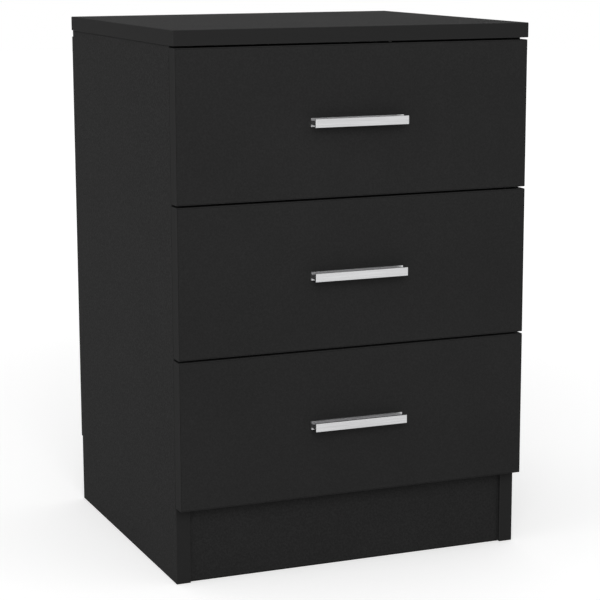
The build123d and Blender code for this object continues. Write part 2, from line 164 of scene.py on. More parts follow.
along_thin = add(board, "VectorMath", {0: where["Normal"], 1: given["Thin Axis"]},
                 operation="DOT_PRODUCT")
facing = add(board, "Math", {0: along_thin}, operation="ABSOLUTE")
broad = add(board, "MapRange", {"Value": facing, **BROAD})
along_bare = add(board, "VectorMath", {0: where["Normal"], 1: given["Bare Axis"]},
                 operation="DOT_PRODUCT")
bare = add(board, "Math", {0: along_bare, 1: BARE_FROM}, operation="GREATER_THAN")
print("masks:", len(board.nodes), "nodes so far")

# %% [markdown]
# The pearl grain is a field of soft cells broken up by a finer noise, and slow clouds stand for
# where hands and cloths went. Wood chips are hard cells, each with its own value. All of them are
# turned by odd angles, because a cut along their own cells would show as a faint grid.

# %% Pearl grain, clouds and chips
GRAIN_MM = 1.8                 # the real grain is half this size, drawn coarser to show
CLOUD_MM = 90
CHIP_MM = 2.2                  # wood chips on a bare cut
PATTERN_TURN = (0.61, 0.37, 0.83)

turned = add(board, "Mapping", {"Vector": where["Object"], "Rotation": PATTERN_TURN})
grain = add(board, "TexVoronoi", {"Vector": turned, "Scale": per_metre(GRAIN_MM)},
            feature="SMOOTH_F1")
fine = add(board, "TexNoise", {"Vector": turned, "Scale": per_metre(GRAIN_MM / 2), "Detail": 2.0})
clouds = add(board, "TexNoise", {"Vector": turned, "Scale": per_metre(CLOUD_MM), "Detail": 3.0,
                                 "Roughness": 0.6})
cells = add(board, "TexVoronoi", {"Vector": turned, "Scale": per_metre(CHIP_MM)})
chips = add(board, "SeparateColor", {0: cells.outputs["Color"]})
speck = add(board, "Math", {0: grain, 1: fine}, operation="MULTIPLY")
print("patterns:", len(board.nodes), "nodes so far")

# %% [markdown]
# The colour is built like the board itself, in layers: the band, the facing with its grain, a
# painted highlight along the edges, the glue line and the bare chips. Each layer lies over the
# ones before it where its mask is 1.

# %% Board colour
BAND = 1.0 * MM                # thickness of the edge band
SEAM = 0.16 * MM               # width of the glue line
EDGE_HIGHLIGHT_AND_WEAR = 0.7 * MM           # how far the painted edge highlight and the glossier edge reach
FULL_HIGHLIGHT = 0.2 * MM        # up to here the painted highlight is at full strength
SPECK_LOW, SPECK_HIGH = 0.08, 0.34
GRAIN_CONTRAST = 0.34
CLOUD_CONTRAST = 0.06
FACING, BAND_COLOUR = linear("#242424"), linear("#232323")
# The first colour on the next line is a painted highlight, a lighter grey along the board edges.
EDGE_HIGHLIGHT, SEAM_COLOUR = linear("#2c2c2c"), linear("#0b0b0b")
CHIP_DARK, CHIP_LIGHT = linear("#6d5236"), linear("#b08f66")

dark, light = (add(board, "Math", {0: given["Grain"], 1: contrast, 2: 1.0},
                   operation="MULTIPLY_ADD") for contrast in (-GRAIN_CONTRAST, GRAIN_CONTRAST))
shade = add(board, "MapRange", {"Value": speck, "From Min": SPECK_LOW, "From Max": SPECK_HIGH,
                                "To Min": dark, "To Max": light})
cloud = add(board, "MapRange", {"Value": clouds, **SPAN, "To Min": 1 - CLOUD_CONTRAST,
                                "To Max": 1 + CLOUD_CONTRAST})
shade = add(board, "Math", {0: shade, 1: cloud}, operation="MULTIPLY")
face = add(board, "Mix", {"Factor": 1.0, "A": FACING, "B": shade}, data_type="RGBA",
           blend_type="MULTIPLY")
# Painted highlight: the colour gets lighter towards every edge, as if the rounded edge caught
# light.
painted_highlight = add(board, "MapRange", {"Value": to_edge, "From Min": FULL_HIGHLIGHT, "From Max": EDGE_HIGHLIGHT_AND_WEAR,
                                 "To Min": 1.0, "To Max": 0.0})
on_line = add(board, "Math", {0: to_edge, 1: BAND, 2: SEAM / 2}, operation="COMPARE")
seam = add(board, "Math", {0: on_line, 1: broad}, operation="MULTIPLY")
chip = add(board, "Mix", {"Factor": chips, "A": CHIP_DARK, "B": CHIP_LIGHT}, data_type="RGBA")
colour = BAND_COLOUR
for mask, layer in ((broad, face), (painted_highlight, EDGE_HIGHLIGHT), (seam, SEAM_COLOUR), (bare, chip)):
    colour = add(board, "Mix", {"Factor": mask, "A": colour, "B": layer}, data_type="RGBA")
print("colour:", len(board.nodes), "nodes so far")

# %% [markdown]
# Gloss and relief come from the same masks. A band is as smooth as the clearest parts of the
# facing, rubbed edges are glossier and chips are dull. The emboss stands up, the glue line is sunk
# and the chips are torn.

# %% Board roughness and relief
FACING_ROUGH = {"To Min": 0.80, "To Max": 0.86}
BAND_ROUGH, CHIP_ROUGH = 0.80, 0.85
RUBBED_GLOSS = -0.12           # what rubbing takes off the roughness
SEAM_DEPTH = -0.6              # as a share of the emboss

clouded = add(board, "MapRange", {"Value": clouds, **SPAN, **FACING_ROUGH})
rough = add(board, "Mix", {"Factor": broad, "A": BAND_ROUGH, "B": clouded}, data_type="FLOAT")
wear = add(board, "MapRange", {"Value": to_edge, "From Min": 0.0, "From Max": EDGE_HIGHLIGHT_AND_WEAR,
                               "To Min": RUBBED_GLOSS, "To Max": 0.0})
rough = add(board, "Math", {0: rough, 1: wear}, operation="ADD")
rough = add(board, "Mix", {"Factor": bare, "A": rough, "B": CHIP_ROUGH}, data_type="FLOAT")
pearl = add(board, "Math", {0: speck, 1: broad}, operation="MULTIPLY")
pearl = add(board, "Math", {0: pearl, 1: given["Grain"]}, operation="MULTIPLY")
relief = add(board, "Math", {0: seam, 1: SEAM_DEPTH, 2: pearl}, operation="MULTIPLY_ADD")
relief = add(board, "Math", {0: chips, 1: bare, 2: relief}, operation="MULTIPLY_ADD")
bump = add(board, "Bump", {"Strength": 0.7, "Distance": 0.5 * MM, "Height": relief})
add(board, "NodeGroupOutput", {"Colour": colour, "Roughness": rough, "Normal": bump})
print("board surface group:", len(board.nodes), "nodes")

# %% [markdown]
# Each board gets a copy of the material that knows its own box, which way it is thin and which cut
# is bare. The side panels and the plinth stand on bare cuts, and the bottom panel's rear edge is
# bare. The specular level is set on the shader itself, because it is the same all over.

# %% Board materials
BOARD_SPECULAR = 0.05
BARE = {"left_side_panel": (0, 0, -1), "right_side_panel": (0, 0, -1), "plinth": (0, 0, -1),
        "bottom_panel": (0, 1, 0)}
CARCASS_GRAIN = {"top_panel": 0.8, "left_side_panel": 0.8, "right_side_panel": 0.8,
                 "bottom_panel": 0.8, "plinth": 0.5}
DRAWER_GRAIN = 0.3             # the drawers are pressed with a finer plate
drawer_boards = [f"{level}_drawer_{part}" for level in LEVELS
                 for part in ("front", "left_side", "right_side", "back")]


def thin_axis(low, high):
    """A unit vector along the shortest side of a box."""
    size = high - low
    shortest = min(range(3), key=lambda axis: size[axis])
    return tuple(float(axis == shortest) for axis in range(3))


def board_material(node, grain):
    low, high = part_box(node)
    material, tree = new_material(f"black_melamine_{node}")
    surface = add(tree, "Group", {
        "Low": low, "High": high, "Thin Axis": thin_axis(low, high),
        "Bare Axis": BARE.get(node, (0, 0, 0)), "Grain": grain}, node_tree=board).outputs
    shader = add(tree, "BsdfPrincipled", {
        "Base Color": surface["Colour"], "Roughness": surface["Roughness"],
        "Normal": surface["Normal"], "Specular IOR Level": BOARD_SPECULAR})
    add(tree, "OutputMaterial", {"Surface": shader})
    return material


def dress(node, material):
    """Gives a CAD node its material and leaves its mesh alone."""
    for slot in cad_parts[node].material_slots:
        slot.material = material


board_grain = {**CARCASS_GRAIN, **{node: DRAWER_GRAIN for node in drawer_boards}}
for node, strength in board_grain.items():
    dress(node, board_material(node, strength))
print("boards dressed:", len(board_grain))

# %% [markdown]
# ## Lacquered hardboard
# The back panel and the drawer bottoms are 3 mm hardboard: wood fibre pressed hard and lacquered.
# The lacquer is thin, so the felt of the fibres shows as light and dark tufts and a soft relief.

# %% Hardboard material
FIBRE_MM = 2.6                 # tufts of fibre; single fibres are far finer, drawn coarser to show
BLOTCH_MM = 45                 # where the board drank more or less lacquer
BLOTCH_SHARE = 0.25
FELT = {"From Min": 0.45, "From Max": 0.80}

hardboard, tree = new_material("lacquered_hardboard")
where = add(tree, "TexCoord").outputs["Object"]
fibres = add(tree, "TexNoise", {"Vector": where, "Scale": per_metre(FIBRE_MM), "Detail": 6.0,
                                "Roughness": 0.75, "Distortion": 1.6})
blotch = add(tree, "TexNoise", {"Vector": where, "Scale": per_metre(BLOTCH_MM), "Detail": 3.0})
mixed = add(tree, "Math", {0: blotch, 1: BLOTCH_SHARE, 2: fibres}, operation="MULTIPLY_ADD")
felt = add(tree, "MapRange", {"Value": mixed, **FELT})
colour = add(tree, "Mix", {"Factor": felt, "A": linear("#161616"), "B": linear("#353535")},
             data_type="RGBA")
rough = add(tree, "MapRange", {"Value": blotch, **SPAN, "To Min": 0.62, "To Max": 0.74})
bump = add(tree, "Bump", {"Strength": 0.3, "Distance": 0.15 * MM, "Height": fibres})
shader = add(tree, "BsdfPrincipled", {"Base Color": colour, "Roughness": rough, "Normal": bump,
                                      "Specular IOR Level": 0.12})
add(tree, "OutputMaterial", {"Surface": shader})

hardboards = ["back_panel"] + [f"{level}_drawer_bottom" for level in LEVELS]
for node in hardboards:
    dress(node, hardboard)
print("hardboard:", hardboards)

# %% [markdown]
# ## Zinc
# Screws, nails and pins are steel, tumbled in a plating bath that leaves a thin bright skin of
# zinc. Cams are zinc cast in a steel die, so their skin is duller and pitted. Both are greys with
# a small mottle that changes colour and gloss together.

# %% Zinc materials
def zinc_material(name, dark, light, mottle_mm, rough, relief_mm):
    material, tree = new_material(name)
    where = add(tree, "TexCoord").outputs["Object"]
    mottle = add(tree, "TexNoise", {"Vector": where, "Scale": per_metre(mottle_mm), "Detail": 4.0,
                                    "Roughness": 0.65})
    spread = add(tree, "MapRange", {"Value": mottle, **SPAN})
    colour = add(tree, "Mix", {"Factor": spread, "A": linear(dark), "B": linear(light)},
                 data_type="RGBA")
    gloss = add(tree, "MapRange", {"Value": mottle, **SPAN, "To Min": rough + 0.07,
                                   "To Max": rough - 0.05})
    bump = add(tree, "Bump", {"Strength": 0.25, "Distance": relief_mm * MM, "Height": mottle})
    shader = add(tree, "BsdfPrincipled", {"Base Color": colour, "Metallic": 1.0,
                                          "Roughness": gloss, "Normal": bump})
    add(tree, "OutputMaterial", {"Surface": shader})
    return material


zinc_plate = zinc_material("zinc_plated_steel", "#a3a39f", "#c3c3bf", 1.2, 0.34, 0.05)
cast_zinc = zinc_material("die_cast_zinc", "#868685", "#a9a9a8", 0.5, 0.46, 0.1)
print("zinc:", zinc_plate.name, "and", cast_zinc.name)

# %% [markdown]
# ## Powder coat and nylon
# The runners are cold-rolled strip under white powder coat, which levels out to a faint orange
# peel. The rollers are moulded in natural nylon, which is waxy and lets a little light in. Both
# are smooth, with a fine relief and a little soiling in slow patches.

# %% Powder coat and nylon materials
SOIL_MM = 25


def smooth_material(name, clean, soiled, rough, cell_mm, relief_mm, subsurface):
    material, tree = new_material(name)
    where = add(tree, "TexCoord").outputs["Object"]
    peel = add(tree, "TexNoise", {"Vector": where, "Scale": per_metre(cell_mm), "Detail": 2.0})
    soil = add(tree, "TexNoise", {"Vector": where, "Scale": per_metre(SOIL_MM), "Detail": 5.0,
                                  "Roughness": 0.7})
    amount = add(tree, "MapRange", {"Value": soil, "From Min": 0.45, "From Max": 0.8})
    tint = add(tree, "Mix", {"Factor": amount, "A": linear(clean), "B": linear(soiled)},
               data_type="RGBA")
    gloss = add(tree, "MapRange", {"Value": soil, **SPAN, "To Min": rough - 0.04,
                                   "To Max": rough + 0.08})
    bump = add(tree, "Bump", {"Strength": 0.2, "Distance": relief_mm * MM, "Height": peel})
    shader = add(tree, "BsdfPrincipled", {
        "Base Color": tint, "Roughness": gloss, "Normal": bump, "Subsurface Weight": subsurface,
        "Subsurface Radius": (1.5 * MM, 1.5 * MM, 1.4 * MM), "Subsurface Scale": 1.0})
    add(tree, "OutputMaterial", {"Surface": shader})
    return material


powder_coat = smooth_material("white_powder_coat", "#dededa", "#cfcec8", 0.38, 1.2, 0.08, 0.0)
nylon = smooth_material("natural_nylon", "#e4e3dc", "#d2d0c6", 0.42, 0.8, 0.04, 0.15)
print("smooth:", powder_coat.name, "and", nylon.name)

# %% [markdown]
# ## Beech
# Dowels are turned from beech rod and fluted in a press. Cut across and along, the wood shows its
# short, slightly darker rays as flecks.

# %% Beech material
FLECK_MM = 1.2

beech, tree = new_material("turned_beech")
where = add(tree, "TexCoord").outputs["Object"]
flecks = add(tree, "TexNoise", {"Vector": where, "Scale": per_metre(FLECK_MM), "Detail": 4.0})
colour = add(tree, "Mix", {"Factor": flecks, "A": linear("#b98c5e"), "B": linear("#d3ac7e")},
             data_type="RGBA")
bump = add(tree, "Bump", {"Strength": 0.3, "Distance": 0.1 * MM, "Height": flecks})
shader = add(tree, "BsdfPrincipled", {"Base Color": colour, "Roughness": 0.62, "Normal": bump})
add(tree, "OutputMaterial", {"Surface": shader})
print("wood:", beech.name)

# %% [markdown]
# ## Brushed aluminium handles
# The handle is an extruded H section, cut to length, brushed along its length on the outer faces
# and anodised. Brushing leaves long streaks, and the saw leaves fine lines across the two ends. A
# stretched noise makes both, and the way a face looks decides which of the two it shows.

# %% Streaks of brush and saw
# The sizes of a streak along X, Y and Z. A real brush line is about a fifth as wide, so it is
# drawn coarser to show.
BRUSH_MM = (45, 0.5, 0.5)
SAW_MM = (9, 9, 0.3)
SAWN_FROM = 0.8


def streaks(tree, where, normal):
    """The value of the streaks: saw lines on faces that look along X, brush lines elsewhere."""
    patterns = []
    for sizes, fineness in ((BRUSH_MM, {"Detail": 4.0, "Roughness": 0.65}),
                            (SAW_MM, {"Detail": 3.0})):
        stretched = add(tree, "Mapping", {"Vector": where["Object"],
                                          "Scale": tuple(per_metre(size) for size in sizes)})
        patterns.append(add(tree, "TexNoise", {"Vector": stretched, "Scale": 1.0, **fineness}))
    sideways = add(tree, "Math", {0: normal[0]}, operation="ABSOLUTE")
    sawn = add(tree, "Math", {0: sideways, 1: SAWN_FROM}, operation="GREATER_THAN")
    return add(tree, "Mix", {"Factor": sawn, "A": patterns[0], "B": patterns[1]},
               data_type="FLOAT")


print("brush streaks:", BRUSH_MM[0], "mm long and", BRUSH_MM[2], "mm high")

# %% [markdown]
# The brush doesn't reach the web in the bottom of the two grooves, so the web is rougher. It is
# also painted a darker grey, as painted shade for the shade that falls in the grooves. The
# handle's own box tells the material where the flanges end and the web begins.

# %% Web of the handle and its painted shade
FLANGE = 2.0 * MM              # thickness of the front and rear flanges
SOFT_LINE = 0.2 * MM           # over which the brushed finish fades into the web's painted shade
LEVEL_FROM = 0.7


def web_and_shade_mask(tree, where, normal, low, high):
    """1 between the flanges on faces that look up or down, 0 elsewhere."""
    place = add(tree, "SeparateXYZ", {0: where["Object"]}).outputs
    offset = add(tree, "Math", {0: place[1], 1: (low.y + high.y) / 2}, operation="SUBTRACT")
    from_middle = add(tree, "Math", {0: offset}, operation="ABSOLUTE")
    reach = (high.y - low.y) / 2 - FLANGE
    between = add(tree, "MapRange", {"Value": from_middle, "From Min": reach - SOFT_LINE,
                                     "From Max": reach + SOFT_LINE, "To Min": 1.0, "To Max": 0.0})
    upward = add(tree, "Math", {0: normal[2]}, operation="ABSOLUTE")
    level_face = add(tree, "Math", {0: upward, 1: LEVEL_FROM}, operation="GREATER_THAN")
    return add(tree, "Math", {0: between, 1: level_face}, operation="MULTIPLY")


print("flanges:", round(FLANGE / MM, 1), "mm thick")

# %% [markdown]
# One pattern of streaks drives colour, gloss and relief together: where the brush left a light
# streak, the metal is also a little smoother. Over all of that, the web is rougher and painted a
# darker grey, which is painted shade in the grooves.

# %% Handle material
def handle_material(node):
    material, tree = new_material(f"brushed_aluminium_{node}")
    where = add(tree, "TexCoord").outputs
    normal = add(tree, "SeparateXYZ", {0: where["Normal"]}).outputs
    lines = streaks(tree, where, normal)
    web_and_shade = web_and_shade_mask(tree, where, normal, *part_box(node))
    spread = add(tree, "MapRange", {"Value": lines, **SPAN})
    brushed = add(tree, "Mix", {"Factor": spread, "A": linear("#b2b2b3"), "B": linear("#cacacb")},
                  data_type="RGBA")
    # Painted shade: the web between the flanges gets a darker grey for the shade in the grooves.
    colour = add(tree, "Mix", {"Factor": web_and_shade, "A": brushed, "B": linear("#858587")},
                 data_type="RGBA")
    gloss = add(tree, "MapRange", {"Value": lines, **SPAN, "To Min": 0.42, "To Max": 0.32})
    gloss = add(tree, "Mix", {"Factor": web_and_shade, "A": gloss, "B": 0.55}, data_type="FLOAT")
    bump = add(tree, "Bump", {"Strength": 0.3, "Distance": 0.06 * MM, "Height": lines})
    shader = add(tree, "BsdfPrincipled", {"Base Color": colour, "Metallic": 1.0,
                                          "Roughness": gloss, "Normal": bump})
    add(tree, "OutputMaterial", {"Surface": shader})
    return material


for level in LEVELS:
    dress(f"{level}_handle", handle_material(f"{level}_handle"))
print("handles dressed:", len(LEVELS))

# %% [markdown]
# ## Where each fitting sits
# The frame holds every group of like fittings as one node of separate solids. Each solid's own
# points tell where it sits and which way it lies, so a detailed fitting can be set exactly where
# the plain one was, without a single typed coordinate.

# %% One solid
AXES = (Vector((1, 0, 0)), Vector((0, 1, 0)), Vector((0, 0, 1)))
UPWARD = AXES[2]
END_DEPTH = 0.05 * MM          # points this near to the end of a solid belong to its end face


class Solid:
    """One separate solid of a CAD node, by its points."""

    def __init__(self, points):
        self.points = np.array(points)
        self.low = Vector(self.points.min(axis=0))
        self.high = Vector(self.points.max(axis=0))
        self.centre = (self.low + self.high) / 2
        self.size = self.high - self.low
        self.long_axis = max(range(3), key=lambda axis: self.size[axis])

    def odd_axis(self):
        """The axis of a round solid: the one whose size differs most from the other two."""
        middle = sorted(self.size)[1]
        return max(range(3), key=lambda axis: abs(self.size[axis] - middle))

    def end_width(self, at_high_end):
        """How wide the solid is, across its long axis, at one of its ends."""
        along = self.points[:, self.long_axis]
        end = along.max() if at_high_end else along.min()
        at_end = self.points[np.abs(along - end) < END_DEPTH]
        return float(np.ptp(at_end[:, (self.long_axis + 1) % 3]))


print("a box of 1 x 3 x 1 is longest along axis", Solid([(0, 0, 0), (1, 3, 1)]).long_axis)

# %% [markdown]
# The mesh of a CAD node is loose triangles. In a merged copy of it, all corners that can be
# reached from one another along edges belong to one solid, so the walk starts at any corner that
# is left and collects its whole island.

# %% Islands of a mesh
def solids_of(node):
    mesh = bmesh.new()
    mesh.from_mesh(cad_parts[node].data)
    bmesh.ops.remove_doubles(mesh, verts=mesh.verts, dist=1e-6)
    unseen = set(mesh.verts)
    solids = []
    while unseen:
        queue = [unseen.pop()]
        island = []
        while queue:
            vert = queue.pop()
            island.append(vert.co[:])
            for edge in vert.link_edges:
                other = edge.other_vert(vert)
                if other in unseen:
                    unseen.remove(other)
                    queue.append(other)
        solids.append(Solid(island))
    mesh.free()
    return sorted(solids, key=lambda solid: [round(value, 4) for value in solid.low])


print("nails found in the frame:", len(solids_of("back_panel_nails")))

# %% [markdown]
# A headed fastener is wide at one end. That end gives the way its head looks, and the head's known
# thickness gives the seat: the point under the head, where the screw meets the board.

# %% Places of headed fasteners
NAIL_HEAD_HEIGHT = 0.5         # in millimetres


def headed_places(node, head_height, axes=(0, 1, 2)):
    """(seat, direction of the head, side vector) of each fastener that lies along one of the
    axes, and the length of a shank in millimetres."""
    solids = [solid for solid in solids_of(node) if solid.long_axis in axes]
    places = []
    for solid in solids:
        axis = solid.long_axis
        outward = AXES[axis] if solid.end_width(True) > solid.end_width(False) else -AXES[axis]
        seat = solid.centre + outward * (solid.size[axis] / 2 - head_height * MM)
        places.append((seat, outward, AXES[(axis + 1) % 3]))
    return places, max(solids[0].size) / MM - head_height


nail_places, nail_length = headed_places("back_panel_nails", NAIL_HEAD_HEIGHT)
print("one nail sits at", [round(value, 4) for value in nail_places[0][0]])

# %% [markdown]
# ## From mesh code to objects
# Each shape below starts as a bmesh. Before it becomes an object, its doubles are merged and its
# faces turned outwards, because only a closed skin can be cut cleanly. Prototypes and cutters are
# thrown away once they have done their work.

# %% New objects
def in_scene(name, data):
    """A new object of a mesh, lamp or camera, put into the scene."""
    thing = bpy.data.objects.new(name, data)
    bpy.context.scene.collection.objects.link(thing)
    return thing


def object_from(mesh, name):
    """A new object from a bmesh, with doubles merged and faces turned outwards."""
    bmesh.ops.remove_doubles(mesh, verts=mesh.verts, dist=1e-7)
    bmesh.ops.recalc_face_normals(mesh, faces=mesh.faces)
    data = bpy.data.meshes.new(name)
    mesh.to_mesh(data)
    mesh.free()
    return in_scene(name, data)


def discard(*things):
    for thing in things:
        bpy.data.objects.remove(thing)


# %% [markdown]
# ## Turned prototypes
# Screws, nails, cams, pins and rollers are all turned, headed or moulded round an axis, so each
# prototype starts as a profile spun about Z. A profile is a list of (radius, height) points in
# millimetres, from the bottom up, and reads as a turner's drawing.

# %% Lathe
FULL_TURN = 2 * math.pi


def lathe(name, profile, segments, bored=False):
    """Spins a profile about Z. A bored profile closes on itself."""
    mesh = bmesh.new()
    rings = []
    for radius, height in profile:
        angles = [FULL_TURN * step / segments for step in range(segments if radius else 1)]
        rings.append([mesh.verts.new((radius * MM * math.cos(angle),
                                      radius * MM * math.sin(angle), height * MM))
                      for angle in angles])
    pairs = list(zip(rings, rings[1:]))
    if bored:
        pairs.append((rings[-1], rings[0]))
    for lower, upper in pairs:
        for step in range(segments):
            after = (step + 1) % segments
            corners = (lower[step % len(lower)], lower[after % len(lower)],
                       upper[after % len(upper)], upper[step % len(upper)])
            corners = list(dict.fromkeys(corners))
            if len(corners) > 2:
                mesh.faces.new(corners)
    return object_from(mesh, name)


trial = lathe("trial", [(0, 0), (4, 0), (4, 10), (0, 10)], 12)
print("a plain pin of 12 segments has", len(trial.data.polygons), "faces")
discard(trial)

# %% [markdown]
# ## Punches and cutters
# Cross recesses, bolt slots and holes are cut with a boolean, as a punch or a cutter would. The
# cutter is a box or a solid skinned through rings of points.

# %% Punches and cutters
def skinned(name, rings):
    """A closed solid through rings of points, in metres, with its two ends capped."""
    mesh = bmesh.new()
    rows = [[mesh.verts.new(point) for point in ring] for ring in rings]
    for row, following in zip(rows, rows[1:]):
        for step in range(len(row)):
            after = (step + 1) % len(row)
            mesh.faces.new((row[step], row[after], following[after], following[step]))
    mesh.faces.new(rows[0][::-1])
    mesh.faces.new(rows[-1])
    return object_from(mesh, name)


def cutter_box(low, high):
    """A box between two corners, in millimetres, that cuts and is thrown away."""
    mesh = bmesh.new()
    bmesh.ops.create_cube(mesh, size=1.0)
    low, high = Vector(low), Vector(high)
    for vert in mesh.verts:
        vert.co = Vector([(low[i] + high[i]) / 2 + vert.co[i] * (high[i] - low[i])
                          for i in range(3)]) * MM
    return object_from(mesh, "cutter")


def cross_recess(top, arm, width, depth):
    """Two crossed cutters that go down from the height top, in millimetres."""
    return [cutter_box((-x / 2, -y / 2, top - depth), (x / 2, y / 2, top + 1))
            for x, y in ((arm, width), (width, arm))]


trial = cutter_box((0, 0, 0), (1, 1, 1))
print("a cutter box has", len(trial.data.vertices), "corners")
discard(trial)

# %% [markdown]
# A boolean modifier only shows the cut. To own it, the piece takes the evaluated result as its
# plain mesh, and then modifiers and cutters can go.

# %% Cutting
def make_real(piece):
    """Makes what the modifiers show the piece's own plain mesh."""
    bpy.context.view_layer.update()
    graph = bpy.context.evaluated_depsgraph_get()
    mesh = bpy.data.meshes.new_from_object(piece.evaluated_get(graph))
    piece.modifiers.clear()
    piece.data = mesh


def carve(piece, cutters):
    """Cuts other objects out of a piece and removes them."""
    for cutter in cutters:
        modifier = piece.modifiers.new("cut", "BOOLEAN")
        modifier.operation = "DIFFERENCE"
        modifier.solver = "EXACT"
        modifier.object = cutter
    make_real(piece)
    discard(*cutters)
    return piece


trial = carve(cutter_box((-5, -5, 0), (5, 5, 2)), cross_recess(2, 6, 1.5, 1))
print("a plate with a cross recess has", len(trial.data.polygons), "faces")
discard(trial)

# %% [markdown]
# ## Screws, nails and pins
# A screw's head is upset cold and its thread is rolled. The thread is drawn as rings of ridge and
# root along the shank. A true helix would need far more faces on something that sits inside a
# board, and the rings read the same. In screws, nails and pins the height 0 is the seat and the
# shank goes down.

# %% Screws
def thread_profile(start, end, radius, pitch, depth):
    turns = max(1, round((end - start) / pitch))
    step = (end - start) / turns
    points = []
    for turn in range(turns):
        height = start + turn * step
        points += [(radius - depth, height + 0.2 * step), (radius, height + 0.5 * step),
                   (radius - depth, height + 0.8 * step)]
    return points


def screw_prototype(head, head_height, diameter, length, pitch):
    """Pan-head screw with a cross recess."""
    wide, radius = head / 2, diameter / 2
    neck, root = radius * 0.9, radius * 0.2
    profile = [(0, -length), (radius * 0.7, -length),
               *thread_profile(-length + 0.2, -0.8, radius, pitch, root),
               (neck, -0.5), (neck, 0), (wide - 0.12, 0), (wide, 0.15),
               (wide, head_height * 0.4), (wide * 0.93, head_height * 0.72),
               (wide * 0.75, head_height * 0.92), (wide * 0.5, head_height), (0, head_height)]
    recess = cross_recess(head_height, head * 0.56, head * 0.12, head_height * 0.65)
    return carve(lathe("screw_prototype", profile, 28), recess)


print("a thread 10 mm long has", len(thread_profile(0, 10, 1.75, 1.4, 0.35)) // 3, "ridges")

# %% [markdown]
# A wire nail's flat head is upset from the wire itself, so its rim is a little round. A roller pin
# gets its dome from a riveting tool, which leaves a small dimple.

# %% Nails and pins
def nail_prototype(length):
    """Small wire nail with a flat head whose rim is upset."""
    return lathe("nail_prototype", [
        (0, -length), (0.35, -length + 1.2), (0.7, -length + 2.4), (0.7, -1.6), (0.64, -1.3),
        (0.7, -1.0), (0.7, 0), (1.38, 0), (1.5, 0.1), (1.5, 0.3), (1.4, 0.44),
        (1.15, NAIL_HEAD_HEIGHT), (0.5, 0.47), (0, 0.45)], 20)


PIN_HEAD, PIN_HEAD_HEIGHT, PIN_DIAMETER = 7.0, 0.9, 4.0


def pin_prototype(length):
    """Roller pin with a domed head and the small dimple of the riveting tool."""
    wide, radius = PIN_HEAD / 2, PIN_DIAMETER / 2
    return lathe("pin_prototype", [
        (0, -length), (radius - 0.2, -length), (radius, -length + 0.2), (radius, 0),
        (wide - 0.15, 0), (wide, 0.12), (wide, 0.3), (wide * 0.9, 0.58), (wide * 0.68, 0.8),
        (wide * 0.42, PIN_HEAD_HEIGHT), (wide * 0.26, PIN_HEAD_HEIGHT), (wide * 0.18, 0.6),
        (0, 0.55)], 28)


print("pin head:", PIN_HEAD, "mm wide and", PIN_HEAD_HEIGHT, "mm high")

# %% [markdown]
# ## Cam locks and their bolts
# A cam lock is a die-cast drum: turning it with a screwdriver draws the ball end of the bolt into
# its hollow and pulls two boards together. What shows is its face, flush with the board, with a
# raised rim, a cross recess and a small arrow that points to the joint.

# %% Cam locks and their bolts
CAM_FLOOR = -0.4               # the face inside the rim, below the open end
BOLT_PITCH = 1.6
BOLT_THREAD_DEPTH = 0.7


def cam_prototype(diameter, depth, bolt_hole, bolt_depth):
    """Z = 0 is the open face, and the bolt comes in along -X from the +X side."""
    radius, half_hole = diameter / 2, bolt_hole / 2
    drum = lathe("cam_prototype", [
        (0, -depth), (radius - 0.5, -depth), (radius - 0.15, -depth + 0.35),
        (radius - 0.15, -1.3), (radius, -1.1), (radius, -0.25), (radius - 0.25, 0),
        (radius - 1.1, 0), (radius - 1.3, CAM_FLOOR), (0, CAM_FLOOR)], 40)
    mouth = cutter_box((-radius * 0.45, -half_hole, -bolt_depth - half_hole),
                       (radius + 1, half_hole, -bolt_depth + half_hole))
    arrow = cutter_box((radius - 2.6, -0.3, -0.9), (radius - 1.5, 0.3, 1))
    recess = cross_recess(CAM_FLOOR, diameter * 0.55, diameter * 0.1, 1.6)
    return carve(drum, [mouth, arrow, *recess])


def bolt_prototype(shank, reach, thread, thread_length):
    """Z = 0 is the joint face; the thread goes down and the ball end goes up."""
    radius, screwed = shank / 2, thread / 2
    return lathe("bolt_prototype", [
        (0, -thread_length), (thread * 0.3, -thread_length),
        *thread_profile(-thread_length + 0.4, -1.0, screwed, BOLT_PITCH, BOLT_THREAD_DEPTH),
        (screwed - 0.15, -0.6), (screwed - 0.15, 0), (radius, 0), (radius, reach - 5.0),
        (radius * 0.6, reach - 4.5), (radius * 0.6, reach - 2.7), (radius * 0.9, reach - 2.1),
        (radius, reach - 1.3), (radius * 0.8, reach - 0.4), (0, reach)], 24)


print("cam face", -CAM_FLOOR, "mm under the rim, bolt thread every", BOLT_PITCH, "mm")

# %% [markdown]
# ## Dowels
# A dowel is a short rod with pressed flutes, which let air and glue out of the hole, and with
# chamfered ends that find the hole. It is skinned through four rings of points, which lie by turns
# on a ridge and in a flute.

# %% Dowels
FLUTES = 24
CHAMFER = 1.2


def dowel_prototype(diameter, length):
    """Fluted dowel with chamfered ends, centred on Z = 0."""
    rings = []
    for height, share in ((-length / 2, 0.82), (-length / 2 + CHAMFER, 1.0),
                          (length / 2 - CHAMFER, 1.0), (length / 2, 0.82)):
        ring = []
        for step in range(2 * FLUTES):
            angle = math.pi * step / FLUTES
            reach = diameter / 2 * share * (1.0 if step % 2 else 0.94) * MM
            ring.append((reach * math.cos(angle), reach * math.sin(angle), height * MM))
        rings.append(ring)
    return skinned("dowel_prototype", rings)


print("a dowel has", FLUTES, "flutes")

# %% [markdown]
# ## Setting the fittings with Geometry Nodes
# A fitter places the same screw again and again, each turned a little differently. The tree does
# just that: it takes one point for each fitting, points the prototype along the point's own axis,
# gives it a seeded random turn about that axis, and makes the copies real.

